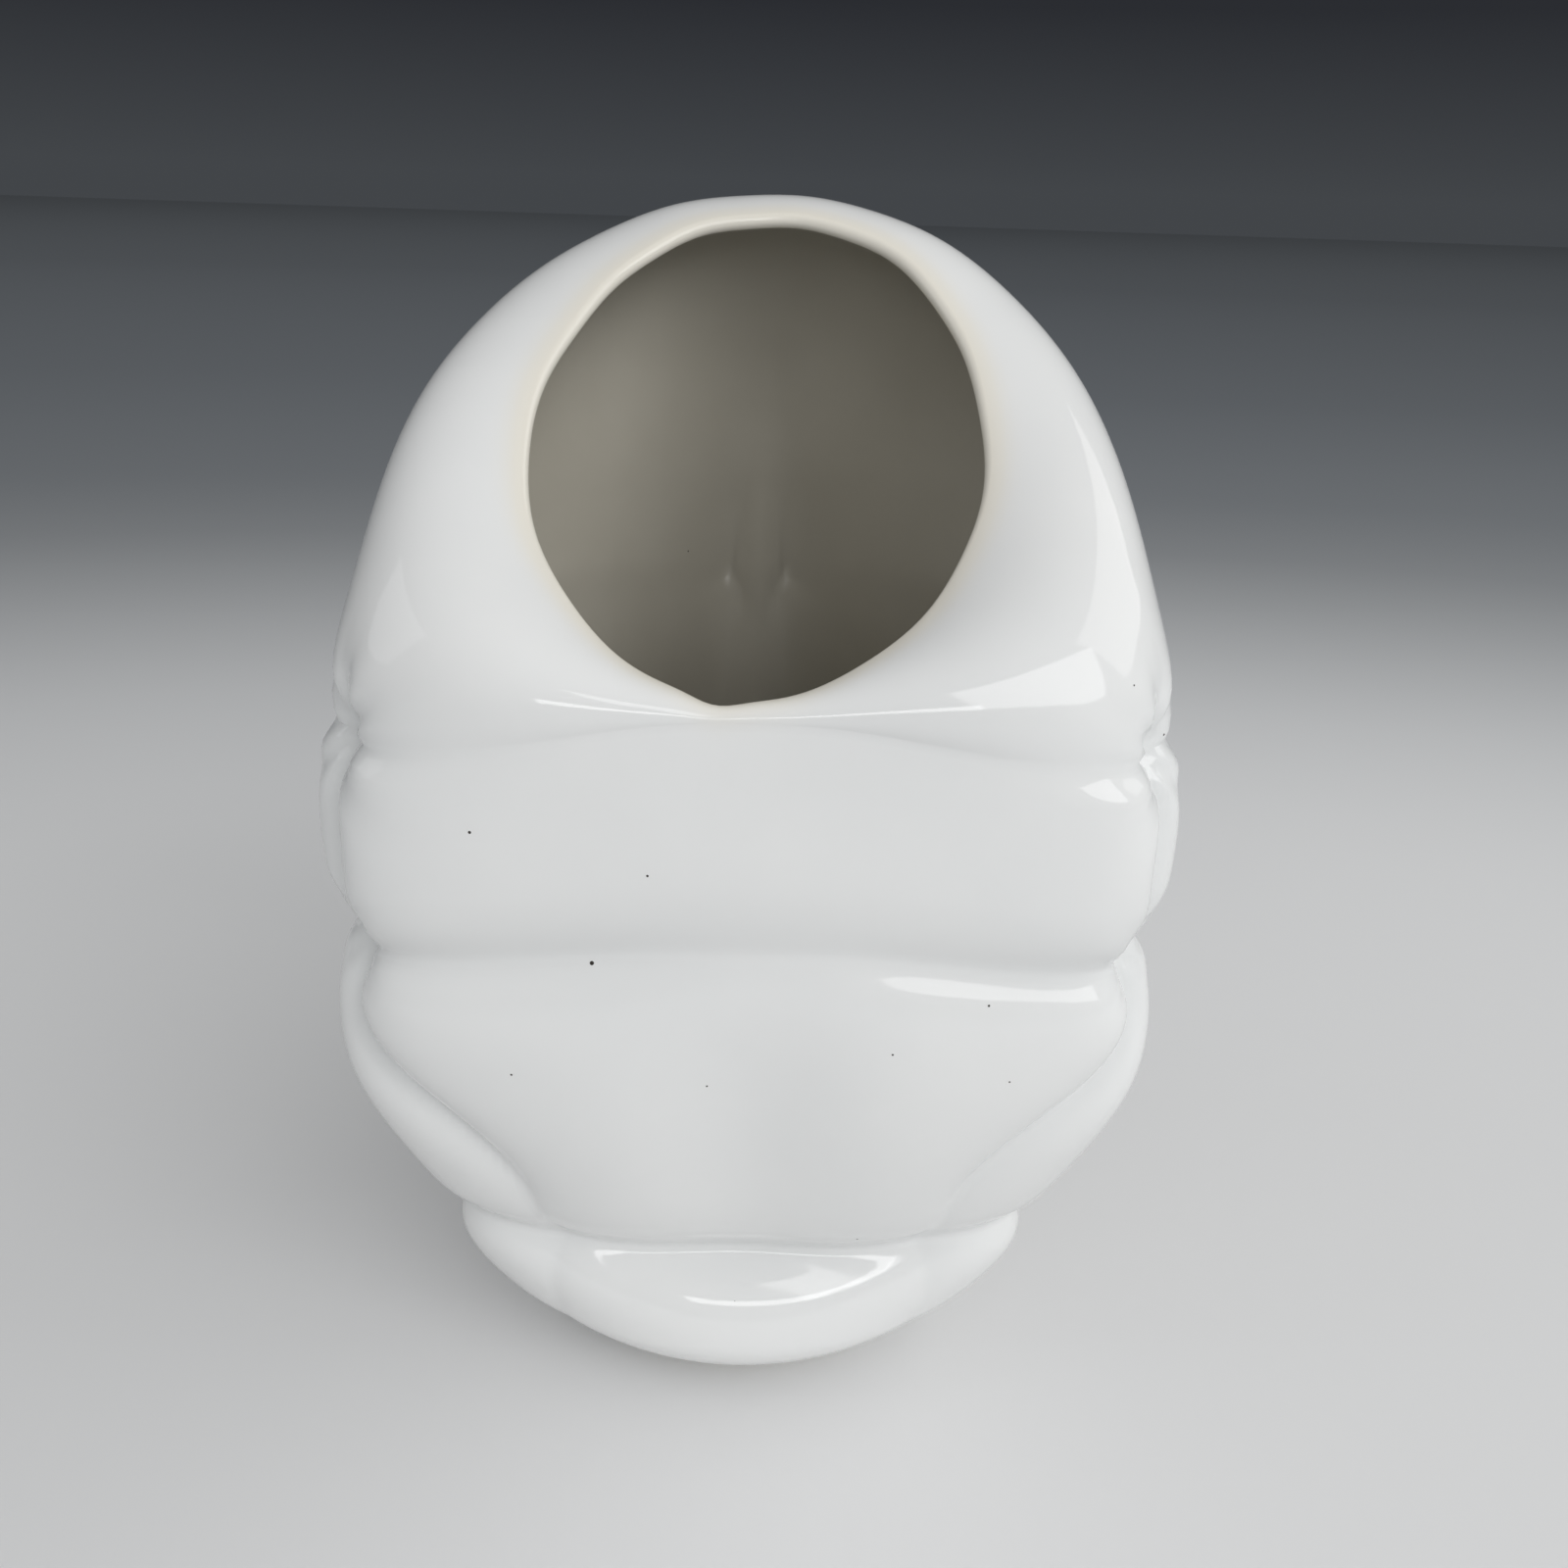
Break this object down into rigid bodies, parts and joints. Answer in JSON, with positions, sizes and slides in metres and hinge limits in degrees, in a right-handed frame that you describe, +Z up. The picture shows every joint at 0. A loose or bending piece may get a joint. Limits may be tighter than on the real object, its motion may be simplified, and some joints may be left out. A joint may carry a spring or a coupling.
{
  "type": "pillow vase",
  "caption": "White glazed pillow vase with a triangular, puffed body in creased tiers, corner grooves, a slanted oval mouth and a bare foot ring.",
  "frame": {"origin": "middle of the vase's box, on the surface that its foot stands on", "axes": "+Z up, -Y towards the front face, below which the mouth is lowest, +X to the right of that face"},
  "size_m": [0.1508, 0.1363, 0.2219],
  "materials": {
    "glaze": "gloss",
    "bare_clay": "matte"
  },
  "bodies": {
    "root": {"body_wall": "glaze", "floor_plate": "glaze", "foot_ring": "bare_clay"}
  },
  "joints": []
}
